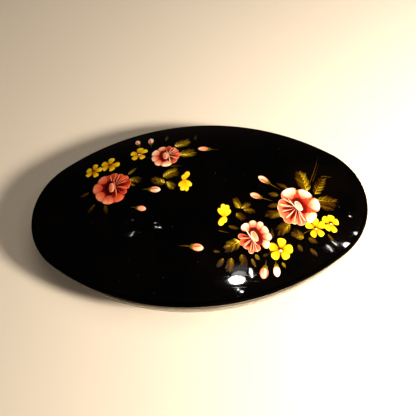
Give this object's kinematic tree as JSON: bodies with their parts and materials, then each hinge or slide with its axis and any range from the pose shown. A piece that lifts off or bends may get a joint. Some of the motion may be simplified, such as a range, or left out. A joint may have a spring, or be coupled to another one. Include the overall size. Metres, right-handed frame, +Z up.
{
  "type": "oval tin trinket box",
  "caption": "Low oval tin box with a gently domed slip-on lid in glossy black lacquer painted with flower sprays, and a gold-lacquered body with rolled edges and a seamed base.",
  "frame": {"origin": "on the ground, under the centre of the oval", "axes": "+X along the length of the oval, +Y towards the side seam at the back, +Z up, the way the lid lifts off"},
  "size_m": [0.1732, 0.1052, 0.0268],
  "materials": {
    "black_lacquer": "glossy black lacquer with painted flower sprays outside, gold lacquer inside",
    "gold_lacquer": "satin gold lacquer on tinplate",
    "wire": "drawn steel wire, hidden in the rolled edges"
  },
  "bodies": {
    "body": {"body_wall": "gold_lacquer", "body_rim_wire": "wire", "base_pan": "gold_lacquer"},
    "lid": {"lid_shell": "black_lacquer", "lid_rim_wire": "wire"}
  },
  "joints": [
    {"name": "lid_lift", "type": "slide", "parent": "body", "child": "lid", "axis": [0, 0, 1], "range_m": [0, 0.08]}
  ]
}
